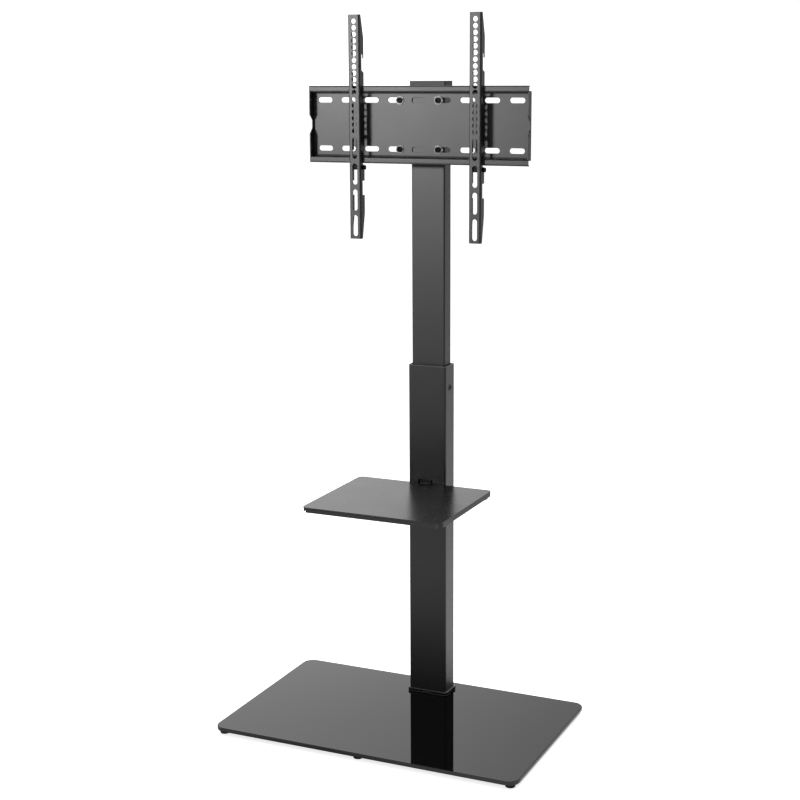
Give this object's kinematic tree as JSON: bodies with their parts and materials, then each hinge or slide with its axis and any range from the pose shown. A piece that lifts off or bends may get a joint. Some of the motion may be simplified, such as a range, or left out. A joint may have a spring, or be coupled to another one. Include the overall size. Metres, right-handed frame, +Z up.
{
  "type": "tv stand with mount",
  "caption": "Free-standing screen stand: glass base on rubber feet, telescopic column, equipment shelf, slotted swivel plate, and hook-on arms with holes and slots for the screen's screws.",
  "frame": {"origin": "on the floor, under the middle of the glass base", "axes": "+X along the screen's width to the right seen from the front, +Y from the screen to the back of the stand, +Z up"},
  "size_m": [0.63, 0.4, 1.374],
  "materials": {
    "base_glass": "black lacquered on its underside, polished, mirror-like top",
    "foot_rubber": "moulded black rubber, dull",
    "gasket_rubber": "sheet rubber, dull",
    "clamp_paint": "black powder coat",
    "screw_zinc": "zinc-plated steel",
    "collar_plastic": "smooth black plastic",
    "foot_plate_paint": "black powder coat",
    "column_paint": "satin black powder coat",
    "guide_plastic": "black moulded plastic",
    "bush_steel": "blackened steel",
    "black_screw": "black oxide steel",
    "shelf_paint": "satin black powder coat",
    "bracket_paint": "satin black powder coat",
    "nut_zinc": "zinc-plated steel",
    "inner_paint": "satin black powder coat",
    "cap_plastic": "fine-textured black plastic",
    "washer_nylon": "natural nylon",
    "plate_paint": "satin black powder coat",
    "washer_steel": "darkened steel",
    "arm_paint": "satin black powder coat",
    "block_paint": "dull black paint"
  },
  "bodies": {
    "base": {"base_glass": "base_glass", "feet": "foot_rubber", "base_gasket": "gasket_rubber", "clamp_plate": "clamp_paint", "base_bolts": "screw_zinc", "base_collar": "collar_plastic", "column_foot": "foot_plate_paint", "outer_column": "column_paint", "guide_sleeve": "guide_plastic", "lock_bush": "bush_steel", "shelf": "shelf_paint", "shelf_bracket": "bracket_paint", "cross_bar": "bracket_paint", "shelf_nuts": "nut_zinc", "bracket_screws": "black_screw", "bracket_nuts": "nut_zinc"},
    "upper": {"inner_column": "inner_paint", "guide_shoe": "guide_plastic", "top_cap": "cap_plastic", "column_bracket": "bracket_paint", "head_screws": "black_screw", "head_nuts": "nut_zinc", "swivel_bolt": "screw_zinc", "swivel_washers": "washer_nylon", "swivel_nut": "nut_zinc"},
    "head": {"swivel_bracket": "plate_paint", "wall_plate": "plate_paint", "plate_bolts": "black_screw", "plate_washers": "washer_steel", "plate_nuts": "nut_zinc"},
    "left_arm": {"left_arm": "arm_paint", "left_lock_block": "block_paint"},
    "right_arm": {"right_arm": "arm_paint", "right_lock_block": "block_paint"},
    "left_lock_screw": {"left_lock_screw": "black_screw"},
    "right_lock_screw": {"right_lock_screw": "black_screw"},
    "height_screw": {"height_screw": "black_screw"}
  },
  "joints": [
    {"name": "column_slide", "type": "slide", "parent": "base", "child": "upper", "axis": [0, 0, 1], "range_m": [-0.25, 0]},
    {"name": "head_swivel", "type": "hinge", "parent": "upper", "child": "head", "pos_m": [0, 0.115, 1.169], "axis": [0, 0, 1], "range_deg": [-30, 30]},
    {"name": "left_arm_slide", "type": "slide", "parent": "head", "child": "left_arm", "axis": [1, 0, 0], "range_m": [-0.076, 0.073]},
    {"name": "right_arm_slide", "type": "slide", "parent": "head", "child": "right_arm", "axis": [1, 0, 0], "range_m": [-0.073, 0.076]},
    {"name": "left_lock_turn", "type": "hinge", "parent": "left_arm", "child": "left_lock_screw", "pos_m": [-0.12375, 0.0789, 1.088], "axis": [1, 0, 0], "continuous": true},
    {"name": "right_lock_turn", "type": "hinge", "parent": "right_arm", "child": "right_lock_screw", "pos_m": [0.12375, 0.0789, 1.088], "axis": [1, 0, 0], "continuous": true},
    {"name": "height_screw_turn", "type": "hinge", "parent": "base", "child": "height_screw", "pos_m": [0.0376, 0.15, 0.655], "axis": [1, 0, 0], "continuous": true}
  ]
}
